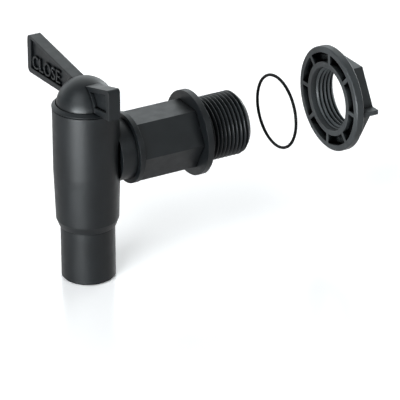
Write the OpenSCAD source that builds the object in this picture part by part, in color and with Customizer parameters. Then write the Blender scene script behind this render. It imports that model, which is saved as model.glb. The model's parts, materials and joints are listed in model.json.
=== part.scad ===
// Jerrycan tap with a turning plug, a flange seal and a back nut.
// The origin is the centre of the inlet flange's sealing face, +X runs along
// the inlet towards the can, and +Z runs up along the plug. Millimetres.
// The closed handle's long paddle points along +Y and its short wing along -Y.
// The seal and the nut are shown taken off, in line with the inlet.

/* [Inlet] */
// Outer diameter of the inlet thread, a 3/4 inch pipe thread
thread_d = 26.44; // [24:0.02:30]
// Length of the threaded spigot
thread_len = 20.4; // [16:0.1:24]
// Length of the chamfer at the spigot's end
thread_lead = 1.9; // [0.5:0.1:2.2]
// Diameter of the bore in the spigot
inlet_bore_d = 19; // [14:0.1:20]
// Diameter of the round flange
flange_d = 35.2; // [32:0.1:40]
// Thickness of the round flange
flange_t = 2.6; // [1.5:0.1:4]

/* [Hexagon and stub] */
// Hexagon's size across its corners
hex_corners = 28.5; // [26:0.1:32]
// Length of the hexagon between the flange and the collar
hex_len = 26.9; // [20:0.1:30]
// Diameter of the collar ring
collar_d = 29; // [28:0.1:33]
// Thickness of the collar ring
collar_t = 2.2; // [1:0.1:4]
// Diameter of the stub between the collar and the sleeve
stub_d = 24.6; // [22:0.1:24.8]
// Distance from the plug's axis to the stub's flat end
stub_start = 9.9; // [9:0.1:11]
// Diameter of the water way through the stub
port_d = 13; // [10:0.1:13.4]

/* [Sleeve] */
// Distance from the flange's face to the plug's axis
axis_x = 48.4; // [46:0.1:54]
// Height of the sleeve
sleeve_h = 51; // [46:0.1:56]
// Height of the sleeve's top above the inlet's axis
sleeve_top = 22.1; // [19:0.1:24]
// Outer diameter of the sleeve's straight upper part
sleeve_top_d = 26.7; // [25.4:0.1:28]
// Outer diameter at the sleeve's bottom
sleeve_bottom_d = 25.4; // [25:0.1:27]
// Height of the sleeve's tapered lower part
sleeve_taper_h = 24; // [8:0.5:40]
// Width of the bevel round the sleeve's bottom
sleeve_bevel_w = 1.15; // [0.5:0.05:1.2]
// Height of the bevel round the sleeve's bottom
sleeve_bevel_h = 3; // [1:0.1:4]
// Chamfer on each side of the seam between the sleeve and the handle
seam = 0.3; // [0.1:0.05:0.5]

/* [Plug and spout] */
// Outer diameter of the plug
plug_d = 22.4; // [21.8:0.1:22.6]
// Radial running clearance between the plug and the sleeve
plug_gap = 0.05; // [0.02:0.01:0.1]
// Wall of the hollow plug
plug_wall = 2.3; // [2:0.1:3]
// Length of the spout below the sleeve
spout_len = 22.9; // [15:0.1:36]
// Outer diameter of the spout
spout_d = 22; // [19:0.1:22]
// Width of the bevel round the spout's tip
spout_lead = 0.4; // [0.2:0.1:1]
// Height of the seal grooves
groove_h = 2.2; // [2:0.1:3]
// Depth of the seal grooves
groove_depth = 1.4; // [1:0.05:1.5]

/* [Handle] */
// Diameter of the ring that sits on the sleeve
cap_ring_d = 27; // [26.8:0.1:28]
// Height of the ring that sits on the sleeve
cap_ring_h = 0.5; // [0.5:0.1:2]
// Diameter of the dome
dome_d = 23.5; // [20:0.1:24]
// Height of the dome's centre above the sleeve
dome_rise = 0.4; // [0:0.1:1]
// Height of the sloping band between the ring and the dome
cap_bevel = 1.2; // [0.5:0.1:2.5]
// Width of the sloping band between the ring and the dome
cap_bevel_w = 1.5; // [0.5:0.05:2]
// Depth of the groove between the sloping band and the dome
cap_groove = 0.45; // [0.1:0.05:0.8]
// Reach of the paddle's end from the plug's axis
paddle_reach = 45.1; // [34:0.1:56]
// Thickness of the paddle
paddle_t = 5; // [3.5:0.1:6]
// Height of the paddle's top edge above the sleeve, where it leaves the axis
paddle_root_top = 9.7; // [8:0.1:11]
// Height of the paddle's top edge above the sleeve at its end
paddle_end_top = 14.8; // [11:0.1:18]
// Height of the paddle's bottom edge above the sleeve at the dome
paddle_root_bottom = 0.4; // [0.3:0.1:2]
// Height of the paddle's bottom edge above the sleeve at its end
paddle_end_bottom = -1.4; // [-3:0.1:6]
// Radius of the corners at the paddle's end
paddle_corner = 2; // [0.5:0.1:4]
// Reach of the wing's end from the plug's axis
wing_reach = 24.15; // [18:0.05:30]
// Thickness of the wing
wing_t = 5; // [4:0.1:7]
// Height of the wing's top edge above the sleeve, where it leaves the axis
wing_root_top = 9.5; // [8:0.1:11]
// Height of the wing's top edge above the sleeve at its end
wing_end_top = 15.7; // [12:0.1:19]
// Height of the wing's bottom edge above the sleeve at the dome
wing_root_bottom = 2; // [1.5:0.1:4]
// Height of the wing's bottom edge above the sleeve at its end
wing_end_bottom = 3.3; // [1.5:0.1:6]
// Radius of the top corner at the wing's end
wing_corner = 1.4; // [0.5:0.1:3]
// Depth of the recesses in the sides of the paddle and the wing
recess_depth = 1.15; // [0.3:0.05:1.3]
// Radius of the recesses' corners
recess_corner = 0.6; // [0.3:0.1:1.5]
// Width of the border between each recess and the dome
recess_root = 1.3; // [0.5:0.1:3]
// Width of the border over the paddle's recess
paddle_border_top = 1.3; // [0.8:0.1:3]
// Width of the border under the paddle's recess
paddle_border_bottom = 2.2; // [0.8:0.1:3]
// Width of the border at the end of the paddle's recess
paddle_border_end = 2.7; // [0.8:0.1:4]
// Width of the border round the wing's recess
wing_border = 2.3; // [0.8:0.1:3]

/* [Flange seal] */
// Inner diameter of the flange seal
ring_inner_d = 29.2; // [26.8:0.1:29.6]
// Cord thickness of the flange seal
ring_cord_d = 1.25; // [1:0.05:1.8]
// Distance of the taken-off seal from the flange's face
ring_x = 39.5; // [25:0.5:60]

/* [Back nut] */
// Diameter of the nut's flange
nut_flange_d = 44.4; // [41:0.1:52]
// Thickness of the nut's flange
nut_flange_t = 3.6; // [3.2:0.1:6]
// Depth of the whole nut
nut_depth = 10.7; // [9:0.1:16]
// Chamfer on the edges of the nut's flange
nut_edge = 0.4; // [0.2:0.1:1]
// Diameter of the nut's plain hub at the front
nut_hub_d = 31.4; // [30:0.1:33]
// Width of the rim round the pockets
nut_rim = 2.5; // [1.6:0.1:3]
// Depth of the pockets
pocket_depth = 2.9; // [1:0.1:3]
// Number of pockets round the flange
pocket_count = 8; // [4:1:12]
// Width of the ribs between the pockets
pocket_rib = 1.6; // [1:0.1:3]
// Diameter of the counterbore in the nut's face
counterbore_d = 27; // [26.9:0.1:29]
// Depth of the counterbore in the nut's face
counterbore_depth = 2.4; // [1:0.1:4]
// Radial clearance between the spigot and the nut's plain bore
nut_gap = 0.08; // [0.05:0.01:0.2]
// Nut hexagon's size across its corners
nut_hex_corners = 35.8; // [34:0.1:40]
// Distance of each lug's end from the nut's axis
lug_reach = 21.5; // [20:0.1:25]
// Thickness of the lugs
lug_t = 1.9; // [1.6:0.1:4]
// Distance of the taken-off nut's face from the flange's face
nut_x = 64.4; // [50:0.5:100]

/* [Hidden] */
$fn = 96;
black = [0.16, 0.17, 0.18];
grey = [0.27, 0.28, 0.29];
rubber = [0.05, 0.05, 0.05];
tiny = 0.01;
arc_steps = 6;
over = 1;
// Places along the inlet, measured from the flange's face
hex_x = -flange_t - hex_len;
collar_x = hex_x - collar_t;
// Places along the plug's axis
sleeve_bottom = sleeve_top - sleeve_h;
spout_end = sleeve_bottom - spout_len;
bore_d = plug_d + 2 * plug_gap;
dome_r = dome_d / 2;
lip_r = cap_ring_d / 2 - cap_bevel_w;
lip_z = sleeve_top + cap_ring_h + cap_bevel;
dome_z = sleeve_top + dome_rise;
groove_z = lip_z - cap_groove;
foot_r = sqrt(pow(dome_r, 2) - pow(groove_z - dome_z, 2));
port_roof = port_d / 2 + 1;
plug_bore_d = plug_d - 2 * plug_wall;
// The seals fill their grooves but for a small clearance all round
seal_gap = 0.02;
seal_cord = groove_depth + plug_gap - 2 * seal_gap;
seal_mid_r = plug_d / 2 - groove_depth + seal_gap + seal_cord / 2;
seal_offset = port_d / 2 + groove_h + 1.2;
nut_bore_d = thread_d + 2 * nut_gap;
// Borders round the recesses: under, at the end and over
paddle_borders = [paddle_border_bottom, paddle_border_end, paddle_border_top];
wing_borders = [wing_border, wing_border, wing_border];

// A hexagonal bar along +X with flats at the top and bottom
module hex_bar(corners, length) {
    rotate([0, 90, 0]) rotate([0, 0, 90]) cylinder(d = corners, h = length, $fn = 6);
}

// A round bar along +X
module bar_x(d, length) {
    rotate([0, 90, 0]) cylinder(d = d, h = length);
}

module sleeve_shape() {
    rotate_extrude() polygon([
        [0, sleeve_bottom],
        [sleeve_bottom_d / 2 - sleeve_bevel_w, sleeve_bottom],
        [sleeve_bottom_d / 2, sleeve_bottom + sleeve_bevel_h],
        [sleeve_top_d / 2, sleeve_bottom + sleeve_taper_h],
        [sleeve_top_d / 2, sleeve_top - seam],
        [sleeve_top_d / 2 - seam, sleeve_top],
        [0, sleeve_top]
    ]);
}

module spigot() {
    rotate([0, 90, 0]) rotate_extrude() polygon([
        [0, -tiny],
        [thread_d / 2, -tiny],
        [thread_d / 2, thread_len - thread_lead],
        [thread_d / 2 - thread_lead, thread_len],
        [0, thread_len]
    ]);
}

module tap_body() {
    color(black) difference() {
        union() {
            translate([-axis_x, 0, 0]) sleeve_shape();
            translate([-axis_x + stub_start, 0, 0]) bar_x(stub_d, axis_x + collar_x - stub_start + tiny);
            translate([collar_x, 0, 0]) bar_x(collar_d, collar_t);
            translate([hex_x - tiny, 0, 0]) hex_bar(hex_corners, hex_len + 2 * tiny);
            translate([-flange_t, 0, 0]) bar_x(flange_d, flange_t);
            spigot();
        }
        translate([-axis_x, 0, sleeve_bottom - over]) cylinder(d = bore_d, h = sleeve_h + 2 * over);
        translate([-axis_x, 0, 0]) bar_x(port_d, axis_x);
        translate([collar_x, 0, 0]) bar_x(inlet_bore_d, thread_len - collar_x + over);
    }
}

// Half section of the plug, ring and dome about the plug's axis
module plug_profile() {
    difference() {
        union() {
            polygon([
                [0, spout_end],
                [spout_d / 2 - spout_lead, spout_end],
                [spout_d / 2, spout_end + spout_lead],
                [spout_d / 2, sleeve_bottom],
                [plug_d / 2, sleeve_bottom],
                [plug_d / 2, sleeve_top],
                [cap_ring_d / 2 - seam, sleeve_top],
                [cap_ring_d / 2, sleeve_top + seam],
                [cap_ring_d / 2, sleeve_top + cap_ring_h],
                [lip_r, lip_z],
                [min(foot_r, lip_r), groove_z],
                [0, groove_z]
            ]);
            intersection() {
                translate([0, dome_z]) circle(r = dome_r);
                translate([0, groove_z - tiny]) square([dome_r, dome_r + over]);
            }
        }
        for (side = [-1, 1])
            translate([plug_d / 2 - groove_depth, side * seal_offset - groove_h / 2])
                square([groove_depth + over, groove_h]);
    }
}

// Points of an arc that rounds a corner, from the first angle to the second
function arc(centre, r, from, to) = [
    for (i = [0:arc_steps])
        let (angle = from + (to - from) * i / arc_steps)
        centre + r * [cos(angle), sin(angle)]
];

// Outline of a lever arm, along its length and up. Its corners are the top and
// the bottom one at the end, and its borders move the bottom, end and top edges in.
function arm_outline(reach, root_top, end_top, root_bottom, end_bottom, corners, borders = [0, 0, 0]) =
    let (low = sleeve_top + borders[0], high = sleeve_top - borders[2], end = reach - borders[1])
    concat(
        [[0, low + root_bottom], [dome_r, low + root_bottom]],
        arc([end - corners[1], low + end_bottom + corners[1]], corners[1], -90, 0),
        arc([end - corners[0], high + end_top - corners[0]], corners[0], 0, 90),
        [[0, high + root_top]]
    );

function paddle_outline(corners, borders = [0, 0, 0]) =
    arm_outline(
        paddle_reach, paddle_root_top, paddle_end_top, paddle_root_bottom, paddle_end_bottom,
        corners, borders
    );

function wing_outline(corners, borders = [0, 0, 0]) =
    arm_outline(
        wing_reach, wing_root_top, wing_end_top, wing_root_bottom, wing_end_bottom,
        corners, borders
    );

// A plate standing on edge over the Y axis
module standing_plate(outline, thickness) {
    rotate([90, 0, 90]) translate([0, 0, -thickness / 2]) linear_extrude(thickness) polygon(outline);
}

module recesses(outline, thickness) {
    for (side = [-1, 1])
        translate([side * (thickness - recess_depth + over) / 2, 0, 0])
            standing_plate(outline, recess_depth + over);
}

module lever(outline, inner, thickness) {
    difference() {
        standing_plate(outline, thickness);
        difference() {
            recesses(inner, thickness);
            translate([0, 0, dome_z]) sphere(r = dome_r + recess_root);
        }
    }
}

module handle_plug() {
    color(black) translate([-axis_x, 0, 0]) difference() {
        union() {
            rotate_extrude() plug_profile();
            lever(
                paddle_outline([paddle_corner, paddle_corner]),
                paddle_outline([recess_corner, recess_corner], paddle_borders),
                paddle_t
            );
            mirror([0, 1, 0]) lever(
                wing_outline([wing_corner, tiny]),
                wing_outline([recess_corner, recess_corner], wing_borders),
                wing_t
            );
        }
        translate([0, 0, spout_end - over]) cylinder(d = plug_bore_d, h = port_roof - spout_end + over);
        rotate([90, 0, 0]) cylinder(d = port_d, h = plug_d);
    }
}

module plug_seal(side) {
    color(rubber) translate([-axis_x, 0, side * seal_offset])
        rotate_extrude() translate([seal_mid_r, 0]) circle(d = seal_cord, $fn = 32);
}

module flange_ring() {
    color(rubber) translate([ring_x, 0, 0]) rotate([0, 90, 0])
        rotate_extrude() translate([(ring_inner_d + ring_cord_d) / 2, 0]) circle(d = ring_cord_d, $fn = 32);
}

// The nut's flange with both its edges chamfered
module nut_flange() {
    rotate([0, 90, 0]) rotate_extrude() polygon([
        [0, 0],
        [nut_flange_d / 2 - nut_edge, 0],
        [nut_flange_d / 2, nut_edge],
        [nut_flange_d / 2, nut_flange_t - nut_edge],
        [nut_flange_d / 2 - nut_edge, nut_flange_t],
        [0, nut_flange_t]
    ]);
}

module back_nut() {
    pocket_outer = nut_flange_d / 2 - nut_rim;
    pocket_inner = nut_hub_d / 2;
    color(grey) translate([nut_x, 0, 0]) difference() {
        union() {
            nut_flange();
            translate([nut_flange_t - tiny, 0, 0])
                hex_bar(nut_hex_corners, nut_depth - nut_flange_t + tiny);
            for (side = [0, 180])
                rotate([side, 0, 0]) translate([0, 0, -lug_t / 2])
                    cube([nut_depth, lug_reach, lug_t]);
        }
        difference() {
            translate([-tiny, 0, 0]) bar_x(2 * pocket_outer, pocket_depth + tiny);
            translate([-over, 0, 0]) bar_x(2 * pocket_inner, pocket_depth + 2 * over);
            for (i = [0:pocket_count - 1])
                rotate([i * 360 / pocket_count, 0, 0])
                    translate([-over, 0, -pocket_rib / 2])
                        cube([pocket_depth + 2 * over, pocket_outer, pocket_rib]);
        }
        translate([-over, 0, 0]) bar_x(nut_bore_d, nut_depth + 2 * over);
        translate([-over, 0, 0]) bar_x(counterbore_d, counterbore_depth + over);
    }
}

tap_body();
handle_plug();
plug_seal(1);  // upper_plug_seal
plug_seal(-1);  // lower_plug_seal
flange_ring();
back_nut();
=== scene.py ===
import json
import math

import bpy
import bmesh
from mathutils import Matrix, Vector


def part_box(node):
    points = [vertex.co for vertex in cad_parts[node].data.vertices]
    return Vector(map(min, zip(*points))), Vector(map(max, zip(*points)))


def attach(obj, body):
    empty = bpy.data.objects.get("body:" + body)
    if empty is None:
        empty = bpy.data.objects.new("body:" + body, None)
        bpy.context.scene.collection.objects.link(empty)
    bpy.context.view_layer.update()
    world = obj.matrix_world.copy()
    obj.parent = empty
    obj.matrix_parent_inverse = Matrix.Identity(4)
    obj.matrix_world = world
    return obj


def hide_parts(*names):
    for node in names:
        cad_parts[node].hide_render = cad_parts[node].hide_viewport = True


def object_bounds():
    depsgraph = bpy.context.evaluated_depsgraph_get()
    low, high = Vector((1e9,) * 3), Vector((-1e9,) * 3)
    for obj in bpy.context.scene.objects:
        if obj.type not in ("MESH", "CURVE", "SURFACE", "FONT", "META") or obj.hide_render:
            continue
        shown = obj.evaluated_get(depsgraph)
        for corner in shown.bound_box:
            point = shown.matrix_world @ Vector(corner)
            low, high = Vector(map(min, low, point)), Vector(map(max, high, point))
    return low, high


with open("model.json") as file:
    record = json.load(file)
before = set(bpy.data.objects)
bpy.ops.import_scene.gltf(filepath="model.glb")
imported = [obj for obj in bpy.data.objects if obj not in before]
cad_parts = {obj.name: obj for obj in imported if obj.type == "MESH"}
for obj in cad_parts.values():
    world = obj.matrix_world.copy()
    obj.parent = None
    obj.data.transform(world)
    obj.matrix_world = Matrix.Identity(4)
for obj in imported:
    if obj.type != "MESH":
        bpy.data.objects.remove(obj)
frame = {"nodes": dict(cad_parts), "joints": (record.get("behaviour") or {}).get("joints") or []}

cad_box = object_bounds()

MM = 0.001

# Sizes of the part that the looks are fitted to, in millimetres
THREAD_R = 13.22
THREAD_LEN = 20.4
THREAD_LEAD = 1.9
PITCH = 1.814
THREAD_DEPTH = 1.162
NUT_BORE_R = 13.3
COUNTERBORE_DEPTH = 2.4
AXIS_X = 48.4
SLEEVE_TOP = 22.1
PADDLE_T = 5.0
RECESS_DEPTH = 1.15

# Make of the threads: sectors round, millimetres along, and the steepness of a flank
THREAD_SECTORS = 144
THREAD_STEP = 0.11
FLANK_SLOPE = 1.36

# The spigot's wall starts at the flange's face, lies between two radii and is set back under its
# thread, in millimetres
SPIGOT_WALL_START = -0.01
SPIGOT_WALL_MIN_R = 11.9
SPIGOT_WALL_MAX_R = THREAD_R + 0.1
SPIGOT_SETBACK = 0.1
SPIGOT_RING_DEPTH = 0.9
SPIGOT_FOOT_SLOPE = 1.6

# The nut's bore is set back too, and its thread fades out at both ends
NUT_BORE_TOLERANCE = 0.05
NUT_SETBACK = 0.12
NUT_RING_DEPTH = 0.5
NUT_FADE_SLOPE = 1.1

# Play between the two threads, and the gap that keeps two faces from falling together
THREAD_PLAY = 0.07
FACE_GAP = 0.02

# The words on the paddle, in millimetres and degrees, with their relief as a share of the recess
WORD_HEIGHT = 5.6
WORD_TILT = -4.0
WORD_RELIEF = 0.75
WORD_ROOT = 0.1
CLOSE_START_Y = 41.6
CLOSE_RISE = 1.3
CLOSE_WIDTH = 24.0
OPEN_START_Y = 17.0
OPEN_RISE = 2.7
OPEN_WIDTH = 22.0

# The camera, from a fit to the photograph's edges, in degrees and metres, its lens in millimetres
CAMERA_AZIMUTH = -29.87
CAMERA_ELEVATION = 26.05
CAMERA_DISTANCE = 1.17305
CAMERA_TARGET = Vector((0.00337, 0.0, -0.03166))
CAMERA_LENS = 258.3

# Lamps, world and floor, with lengths in metres
LAMP_TINT = (0.91, 0.975, 1.0)
LAMP_AIM = Vector((-0.03, 0.0, -0.01))
WHITE = (1.0, 1.0, 1.0, 1.0)
BRIGHT_SIDE = (0.5, 0.87, 0.0)
FLOOR_HALF = 6.0
FLOOR_GAP = 0.0002
FLOOR_LIFT = 0.62
FLOOR_MIRRORED_WHITE = 0.18

# Looks that the plastics share, and the rubbers' roughness
# Black that shade is painted with in the plastics' hollows
PAINTED_SHADE_BLACK = (0.0006, 0.0007, 0.0008, 1.0)
OPEN_SHEEN = 0.5
PLASTIC_IOR = 1.4
RUBBER_ROUGH = (0.42, 0.55)

# The middle range of a noise texture, which is spread over the full range of what it drives
NOISE_LOW = 0.35
NOISE_HIGH = 0.65


def joint_travel(name):
    """A slide's lower limit, in metres from rest."""
    for joint in frame["joints"]:
        if joint["name"] == name:
            return joint["range_m"][0]


def direction(azimuth, elevation):
    """Unit vector at an azimuth, which is 0 in front, and an elevation, both in degrees."""
    a, e = math.radians(azimuth), math.radians(elevation)
    return Vector((math.sin(a) * math.cos(e), -math.cos(a) * math.cos(e), math.sin(e)))


def make_camera():
    back = direction(CAMERA_AZIMUTH, CAMERA_ELEVATION)
    turned = math.radians(CAMERA_AZIMUTH)
    right = Vector((math.cos(turned), math.sin(turned), 0.0))
    up = back.cross(right)
    data = bpy.data.cameras.new("camera")
    data.lens = CAMERA_LENS
    data.sensor_width = 36.0
    data.clip_start = 0.01
    data.clip_end = 20.0
    camera = bpy.data.objects.new("camera", data)
    turn = Matrix((right, up, back)).transposed().to_4x4()
    camera.matrix_world = Matrix.Translation(CAMERA_TARGET + back * CAMERA_DISTANCE) @ turn
    bpy.context.scene.collection.objects.link(camera)
    bpy.context.scene.camera = camera


def area_light(name, azimuth, elevation, distance, size, power):
    """A soft box that the camera doesn't see, aimed at the tap."""
    place = LAMP_AIM + direction(azimuth, elevation) * distance
    data = bpy.data.lights.new(name, "AREA")
    data.shape = "RECTANGLE"
    data.size = size[0]
    data.size_y = size[1]
    data.energy = power
    data.color = LAMP_TINT
    lamp = bpy.data.objects.new(name, data)
    lamp.visible_camera = False
    lamp.location = place
    lamp.rotation_euler = (LAMP_AIM - place).to_track_quat("-Z", "Y").to_euler()
    bpy.context.scene.collection.objects.link(lamp)


# Materials

def new_material(name):
    material = bpy.data.materials.new(name)
    material.use_nodes = True
    tree = material.node_tree
    tree.nodes.clear()
    output = tree.nodes.new("ShaderNodeOutputMaterial")
    return material, tree, output


def add_noise(tree, place, scale, detail):
    noise = tree.nodes.new("ShaderNodeTexNoise")
    noise.inputs["Scale"].default_value = scale
    noise.inputs["Detail"].default_value = detail
    tree.links.new(place, noise.inputs["Vector"])
    return noise.outputs["Fac"]


def ramp(tree, value, low, high):
    """Maps noise from its middle range to low..high."""
    node = tree.nodes.new("ShaderNodeMapRange")
    node.inputs["From Min"].default_value = NOISE_LOW
    node.inputs["From Max"].default_value = NOISE_HIGH
    node.inputs["To Min"].default_value = low
    node.inputs["To Max"].default_value = high
    tree.links.new(value, node.inputs["Value"])
    return node.outputs["Result"]


def cloudy_colour(tree, noise, dark, light):
    """A colour that drifts with the noise from dark to light."""
    colour = tree.nodes.new("ShaderNodeMix")
    colour.data_type = "RGBA"
    colour.inputs["A"].default_value = (*dark, 1.0)
    colour.inputs["B"].default_value = (*light, 1.0)
    tree.links.new(ramp(tree, noise, 0.0, 1.0), colour.inputs["Factor"])
    return colour.outputs["Result"]


def fine_grain(tree, place, scale, strength, height):
    """A bump of fine noise, its height in metres."""
    bump = tree.nodes.new("ShaderNodeBump")
    bump.inputs["Strength"].default_value = strength
    bump.inputs["Distance"].default_value = height
    tree.links.new(add_noise(tree, place, scale, detail=2.0), bump.inputs["Height"])
    return bump


def moulded_plastic(
    name, dark, light, rough=(0.39, 0.47), grain=0.05, edge=0.25, shade_reach=1.3, painted_shade_range=(0.42, 0.85)
):
    """Satin moulded plastic: cloudy colour, uneven gloss, fine grain, soft edges, and shade painted into
    hollows.

    The soft edge and the distance of the painted shade are in millimetres.
    """
    material, tree, output = new_material(name)
    shader = tree.nodes.new("ShaderNodeBsdfPrincipled")
    place = tree.nodes.new("ShaderNodeTexCoord").outputs["Object"]
    colour = cloudy_colour(tree, add_noise(tree, place, scale=90.0, detail=4.0), dark, light)
    # Painted shade: ambient occlusion darkens the colour towards black and dulls the gloss in hollows,
    # creases and between parts, where shade falls.
    shade_occlusion = tree.nodes.new("ShaderNodeAmbientOcclusion")
    shade_occlusion.samples = 6
    shade_occlusion.inputs["Distance"].default_value = shade_reach * MM
    depth = tree.nodes.new("ShaderNodeMapRange")
    depth.inputs["From Min"].default_value = painted_shade_range[0]
    depth.inputs["From Max"].default_value = painted_shade_range[1]
    depth.inputs["To Min"].default_value = 0.0
    depth.inputs["To Max"].default_value = 1.0
    tree.links.new(shade_occlusion.outputs["AO"], depth.inputs["Value"])
    shade = tree.nodes.new("ShaderNodeMix")
    shade.data_type = "RGBA"
    shade.inputs["A"].default_value = PAINTED_SHADE_BLACK
    tree.links.new(depth.outputs["Result"], shade.inputs["Factor"])
    tree.links.new(colour, shade.inputs["B"])
    tree.links.new(shade.outputs["Result"], shader.inputs["Base Color"])
    # Painted shade on the gloss: the specular level falls with the same occlusion, to nothing deep in
    # hollows.
    sheen = tree.nodes.new("ShaderNodeMath")
    sheen.operation = "MULTIPLY"
    sheen.inputs[1].default_value = OPEN_SHEEN
    tree.links.new(depth.outputs["Result"], sheen.inputs[0])
    tree.links.new(sheen.outputs["Value"], shader.inputs["Specular IOR Level"])
    gloss = add_noise(tree, place, scale=260.0, detail=3.0)
    tree.links.new(ramp(tree, gloss, *rough), shader.inputs["Roughness"])
    shader.inputs["IOR"].default_value = PLASTIC_IOR
    soft_edge = tree.nodes.new("ShaderNodeBevel")
    soft_edge.samples = 6
    soft_edge.inputs["Radius"].default_value = edge * MM
    bump = fine_grain(tree, place, scale=5200.0, strength=grain, height=0.08 * MM)
    tree.links.new(soft_edge.outputs["Normal"], bump.inputs["Normal"])
    tree.links.new(bump.outputs["Normal"], shader.inputs["Normal"])
    tree.links.new(shader.outputs["BSDF"], output.inputs["Surface"])
    return material


def smooth_rubber(name, dark, light, ior):
    """Black rubber with a faint bloom and a dull sheen."""
    material, tree, output = new_material(name)
    shader = tree.nodes.new("ShaderNodeBsdfPrincipled")
    place = tree.nodes.new("ShaderNodeTexCoord").outputs["Object"]
    bloom = add_noise(tree, place, scale=180.0, detail=4.0)
    tree.links.new(cloudy_colour(tree, bloom, dark, light), shader.inputs["Base Color"])
    tree.links.new(ramp(tree, bloom, *RUBBER_ROUGH), shader.inputs["Roughness"])
    shader.inputs["IOR"].default_value = ior
    bump = fine_grain(tree, place, scale=3800.0, strength=0.06, height=0.05 * MM)
    tree.links.new(bump.outputs["Normal"], shader.inputs["Normal"])
    tree.links.new(shader.outputs["BSDF"], output.inputs["Surface"])
    return material


def dress(obj, material):
    obj.data.materials.clear()
    obj.data.materials.append(material)


# Threads

def thread_height(turns):
    """Share of the thread's depth at a point along the pitch, with a narrow flat crest and root."""
    share = turns - math.floor(turns)
    wave = abs(2.0 * share - 1.0)
    return min(1.0, max(0.0, (wave - 0.5) * FLANK_SLOPE + 0.5))


def male_radius(x, angle, shift=0.0):
    """Radius of the spigot's thread at x and angle, shifted along the axis."""
    turns = (x - shift) / PITCH - angle / (2.0 * math.pi)
    return THREAD_R - THREAD_DEPTH + THREAD_DEPTH * thread_height(turns)


def ring_solid(name, start, end, radius_at, hidden_r):
    """A closed ring along +X with one wall given by radius_at and the other a plain cylinder."""
    count = max(2, int(round((end - start) / THREAD_STEP)))
    stations = [start + (end - start) * i / count for i in range(count + 1)]
    angles = [2.0 * math.pi * j / THREAD_SECTORS for j in range(THREAD_SECTORS)]
    mesh = bmesh.new()

    def circle(x, radius):
        return [
            mesh.verts.new((x * MM, radius(x, a) * math.cos(a) * MM, radius(x, a) * math.sin(a) * MM))
            for a in angles
        ]

    def plain(x, a):
        return hidden_r

    rings = [circle(stations[0], plain)]
    rings += [circle(x, radius_at) for x in stations]
    rings.append(circle(stations[-1], plain))
    rings.append(rings[0])
    for first, second in zip(rings, rings[1:]):
        for j in range(THREAD_SECTORS):
            k = (j + 1) % THREAD_SECTORS
            mesh.faces.new((first[j], first[k], second[k], second[j]))
    bmesh.ops.recalc_face_normals(mesh, faces=mesh.faces)
    data = bpy.data.meshes.new(name)
    mesh.to_mesh(data)
    mesh.free()
    for face in data.polygons:
        face.use_smooth = True
    obj = bpy.data.objects.new(name, data)
    bpy.context.scene.collection.objects.link(obj)
    return obj


def copy_node(name, node, move):
    """A copy of a CAD node's mesh whose vertices are moved by a function, standing for the node."""
    source = frame["nodes"][node]
    data = source.data.copy()
    data.name = name
    obj = bpy.data.objects.new(name, data)
    bpy.context.scene.collection.objects.link(obj)
    for vertex in data.vertices:
        vertex.co = move(vertex.co / MM) * MM
    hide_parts(node)
    return obj


def set_radius(point, radius):
    """The point, moved square to the X axis to that radius."""
    old = math.hypot(point.y, point.z)
    return Vector((point.x, point.y * radius / old, point.z * radius / old))


def make_spigot_thread():
    core_r = THREAD_R - THREAD_DEPTH - SPIGOT_SETBACK

    def shrink(p):
        if p.x > SPIGOT_WALL_START and SPIGOT_WALL_MIN_R < math.hypot(p.y, p.z) < SPIGOT_WALL_MAX_R:
            return set_radius(p, core_r)
        return p

    def outside(x, angle):
        lead = THREAD_R - max(0.0, x - (THREAD_LEN - THREAD_LEAD))
        foot = THREAD_R - SPIGOT_FOOT_SLOPE * x
        return min(lead, max(core_r + FACE_GAP, foot, male_radius(x, angle)))

    body = copy_node("tap_body_dressed", "tap_body", shrink)
    thread = ring_solid("spigot_thread", 0.0, THREAD_LEN - FACE_GAP, outside, core_r - SPIGOT_RING_DEPTH)
    return body, thread


def make_nut_thread():
    nut_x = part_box("back_nut")[0][0] / MM
    travel = (joint_travel("seal_slide") + joint_travel("nut_slide")) / MM
    start = nut_x + COUNTERBORE_DEPTH
    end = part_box("back_nut")[1][0] / MM
    wall_r = NUT_BORE_R + NUT_SETBACK

    def widen(p):
        if abs(math.hypot(p.y, p.z) - NUT_BORE_R) < NUT_BORE_TOLERANCE:
            return set_radius(p, wall_r)
        return p

    def inside(x, angle):
        edge = wall_r - NUT_FADE_SLOPE * min(x - start, end - x)
        return max(edge, male_radius(x, angle, -travel) + THREAD_PLAY)

    nut = copy_node("back_nut_dressed", "back_nut", widen)
    thread = ring_solid("nut_thread", start + FACE_GAP, end - FACE_GAP, inside, wall_r + NUT_RING_DEPTH)
    return nut, thread


# Words on the paddle

def raised_word(name, word, place, along, width):
    """A raised word whose lower left corner is at place and which reads in the direction along."""
    data = bpy.data.curves.new(name + "_curve", "FONT")
    data.body = word
    data.resolution_u = 6
    flat = bpy.data.objects.new(name + "_flat", data)
    bpy.context.scene.collection.objects.link(flat)
    depsgraph = bpy.context.evaluated_depsgraph_get()
    mesh = bpy.data.meshes.new_from_object(flat.evaluated_get(depsgraph))
    bpy.data.objects.remove(flat)
    build = bmesh.new()
    build.from_mesh(mesh)
    low = [min(v.co[i] for v in build.verts) for i in range(2)]
    high = [max(v.co[i] for v in build.verts) for i in range(2)]
    faces = list(build.faces)
    top = bmesh.ops.extrude_face_region(build, geom=faces)
    for item in top["geom"]:
        if isinstance(item, bmesh.types.BMVert):
            item.co.z = 1.0
    up = Vector((0.0, 0.0, 1.0))
    out = along.cross(up)
    for v in build.verts:
        a = (v.co.x - low[0]) / (high[0] - low[0]) * width
        b = (v.co.y - low[1]) / (high[1] - low[1]) * WORD_HEIGHT
        c = v.co.z * (RECESS_DEPTH * WORD_RELIEF + WORD_ROOT) - WORD_ROOT
        v.co = (place + along * a + up * b + out * c) * MM
    bmesh.ops.recalc_face_normals(build, faces=build.faces)
    build.to_mesh(mesh)
    build.free()
    mesh.name = name
    obj = bpy.data.objects.new(name, mesh)
    bpy.context.scene.collection.objects.link(obj)
    return obj


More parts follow.
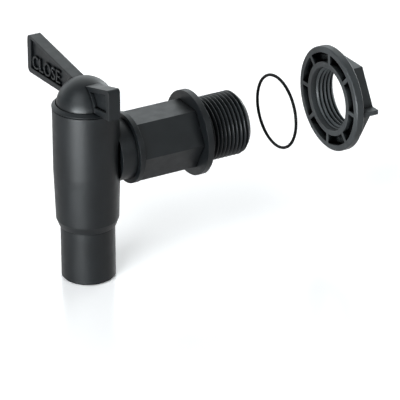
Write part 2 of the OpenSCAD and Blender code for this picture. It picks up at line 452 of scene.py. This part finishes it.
def make_words():
    floor = PADDLE_T / 2 - RECESS_DEPTH
    tilt = math.radians(WORD_TILT)
    back = Vector((0.0, math.cos(tilt), math.sin(tilt)))
    near_corner = Vector((-AXIS_X - floor, CLOSE_START_Y, SLEEVE_TOP + CLOSE_RISE))
    far_corner = Vector((-AXIS_X + floor, OPEN_START_Y, SLEEVE_TOP + OPEN_RISE))
    near = raised_word("word_close", "CLOSE", near_corner, -back, CLOSE_WIDTH)
    far = raised_word("word_open", "OPEN", far_corner, back, OPEN_WIDTH)
    return near, far


# Floor and light

def make_floor():
    """Pale floor with a faint gloss, white to the camera away from the shadow."""
    z = cad_box[0][2] - FLOOR_GAP
    corners = [(FLOOR_HALF * x, FLOOR_HALF * y, z) for x, y in ((-1, -1), (1, -1), (1, 1), (-1, 1))]
    mesh = bpy.data.meshes.new("floor")
    mesh.from_pydata(corners, [], [(0, 1, 2, 3)])
    floor = bpy.data.objects.new("floor", mesh)
    bpy.context.scene.collection.objects.link(floor)
    material, tree, output = new_material("pale_floor")
    diffuse = tree.nodes.new("ShaderNodeBsdfDiffuse")
    diffuse.inputs["Color"].default_value = (0.91, 0.86, 0.85, 1.0)
    glow = tree.nodes.new("ShaderNodeEmission")
    glow.inputs["Color"].default_value = WHITE
    glow.inputs["Strength"].default_value = 1.0
    gloss = tree.nodes.new("ShaderNodeBsdfGlossy")
    gloss.inputs["Color"].default_value = (1.0, 0.97, 0.96, 1.0)
    gloss.inputs["Roughness"].default_value = 0.2
    polish = tree.nodes.new("ShaderNodeMixShader")
    polish.inputs["Fac"].default_value = 0.2
    tree.links.new(diffuse.outputs["BSDF"], polish.inputs[1])
    tree.links.new(gloss.outputs["BSDF"], polish.inputs[2])
    rays = tree.nodes.new("ShaderNodeLightPath")
    seen = tree.nodes.new("ShaderNodeMath")
    seen.operation = "MULTIPLY"
    seen.inputs[1].default_value = FLOOR_MIRRORED_WHITE
    tree.links.new(rays.outputs["Is Glossy Ray"], seen.inputs[0])
    mix = tree.nodes.new("ShaderNodeMixShader")
    tree.links.new(seen.outputs["Value"], mix.inputs["Fac"])
    lift = tree.nodes.new("ShaderNodeMath")
    lift.operation = "MULTIPLY"
    lift.inputs[1].default_value = FLOOR_LIFT
    tree.links.new(rays.outputs["Is Camera Ray"], lift.inputs[0])
    pale = tree.nodes.new("ShaderNodeBsdfDiffuse")
    tree.links.new(lift.outputs["Value"], pale.inputs["Color"])
    bright = tree.nodes.new("ShaderNodeAddShader")
    tree.links.new(polish.outputs["Shader"], bright.inputs[0])
    tree.links.new(pale.outputs["BSDF"], bright.inputs[1])
    tree.links.new(bright.outputs["Shader"], mix.inputs[1])
    tree.links.new(glow.outputs["Emission"], mix.inputs[2])
    tree.links.new(mix.outputs["Shader"], output.inputs["Surface"])
    dress(floor, material)


def make_world():
    """White to the camera, dim as a light, and brightest in reflections from the back and right."""
    world = bpy.data.worlds.new("studio")
    bpy.context.scene.world = world
    world.use_nodes = True
    tree = world.node_tree
    tree.nodes.clear()
    output = tree.nodes.new("ShaderNodeOutputWorld")
    place = tree.nodes.new("ShaderNodeTexCoord")
    axes = tree.nodes.new("ShaderNodeVectorMath")
    axes.operation = "DOT_PRODUCT"
    axes.inputs[1].default_value = BRIGHT_SIDE
    tree.links.new(place.outputs["Generated"], axes.inputs[0])
    depth = tree.nodes.new("ShaderNodeMapRange")
    depth.interpolation_type = "SMOOTHSTEP"
    depth.inputs["From Min"].default_value = -0.1
    depth.inputs["From Max"].default_value = 0.9
    depth.inputs["To Min"].default_value = 0.35
    depth.inputs["To Max"].default_value = 1.9
    tree.links.new(axes.outputs["Value"], depth.inputs["Value"])
    soft = tree.nodes.new("ShaderNodeBackground")
    soft.inputs["Color"].default_value = (0.92, 0.98, 1.0, 1.0)
    tree.links.new(depth.outputs["Result"], soft.inputs["Strength"])
    dim = tree.nodes.new("ShaderNodeBackground")
    dim.inputs["Color"].default_value = WHITE
    dim.inputs["Strength"].default_value = 0.15
    white = tree.nodes.new("ShaderNodeBackground")
    white.inputs["Color"].default_value = WHITE
    white.inputs["Strength"].default_value = 1.0
    rays = tree.nodes.new("ShaderNodeLightPath")
    mix = tree.nodes.new("ShaderNodeMixShader")
    shine = tree.nodes.new("ShaderNodeMixShader")
    tree.links.new(rays.outputs["Is Glossy Ray"], shine.inputs["Fac"])
    tree.links.new(dim.outputs["Background"], shine.inputs[1])
    tree.links.new(soft.outputs["Background"], shine.inputs[2])
    tree.links.new(rays.outputs["Is Camera Ray"], mix.inputs["Fac"])
    tree.links.new(shine.outputs["Shader"], mix.inputs[1])
    tree.links.new(white.outputs["Background"], mix.inputs[2])
    tree.links.new(mix.outputs["Shader"], output.inputs["Surface"])


def make_lights():
    area_light("left_box", azimuth=-56.0, elevation=-3.0, distance=0.45, size=(0.28, 0.08), power=5.0)
    area_light("right_box", azimuth=108.0, elevation=13.0, distance=1.0, size=(0.75, 0.5), power=5.5)
    area_light("overhead", azimuth=-66.0, elevation=42.0, distance=1.1, size=(0.75, 0.75), power=6.5)
    area_light("front_box", azimuth=30.0, elevation=27.0, distance=1.4, size=(0.9, 0.9), power=2.3)


make_camera()
make_world()
make_lights()
make_floor()

# Each plastic paints shade into its hollows over its own distance and occlusion range; the nut's is the
# widest and strongest.
black_plastic = moulded_plastic("black_plastic", (0.0016, 0.0024, 0.0031), (0.0030, 0.0041, 0.0050))
handle_plastic = moulded_plastic(
    "handle_plastic", (0.0017, 0.0025, 0.0032), (0.0031, 0.0042, 0.0051),
    shade_reach=1.0, painted_shade_range=(0.58, 0.92)
)
nut_plastic = moulded_plastic(
    "nut_plastic", (0.020, 0.0225, 0.0240), (0.031, 0.0345, 0.0365),
    rough=(0.42, 0.52), grain=0.09, shade_reach=3.2, painted_shade_range=(0.68, 0.94)
)
# A lighter copy of the nut's plastic: the thread is painted lighter to stand in for the light that it
# catches.
nut_thread_lit_plastic = moulded_plastic(
    "nut_thread_lit_plastic", (0.034, 0.038, 0.040), (0.048, 0.053, 0.056),
    rough=(0.36, 0.44), grain=0.06, edge=0.06, shade_reach=1.0, painted_shade_range=(0.5, 0.9)
)
thread_plastic = moulded_plastic(
    "thread_plastic", (0.0022, 0.0032, 0.0040), (0.0040, 0.0054, 0.0064),
    rough=(0.34, 0.42), grain=0.03, edge=0.06, shade_reach=0.8
)
ring_rubber = smooth_rubber("ring_rubber", (0.0006, 0.0007, 0.0008), (0.0012, 0.0013, 0.0015), 1.2)
seal_rubber = smooth_rubber("seal_rubber", (0.008, 0.008, 0.008), (0.012, 0.012, 0.012), 1.45)

tap, spigot_thread = make_spigot_thread()
nut, nut_thread = make_nut_thread()
word_close, word_open = make_words()

for piece, material, body, slot in (
    (tap, black_plastic, "tap", "black_plastic"),
    (spigot_thread, thread_plastic, "tap", "black_plastic"),
    (nut, nut_plastic, "nut", "nut_plastic"),
    (nut_thread, nut_thread_lit_plastic, "nut", "nut_plastic"),
    (word_close, handle_plastic, "handle", "handle_plastic"),
    (word_open, handle_plastic, "handle", "handle_plastic"),
):
    dress(piece, material)
    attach(piece, body)

dress(frame["nodes"]["handle_plug"], handle_plastic)
dress(frame["nodes"]["upper_plug_seal"], seal_rubber)
dress(frame["nodes"]["lower_plug_seal"], seal_rubber)
dress(frame["nodes"]["flange_ring"], ring_rubber)

bpy.context.scene.view_settings.view_transform = "Standard"
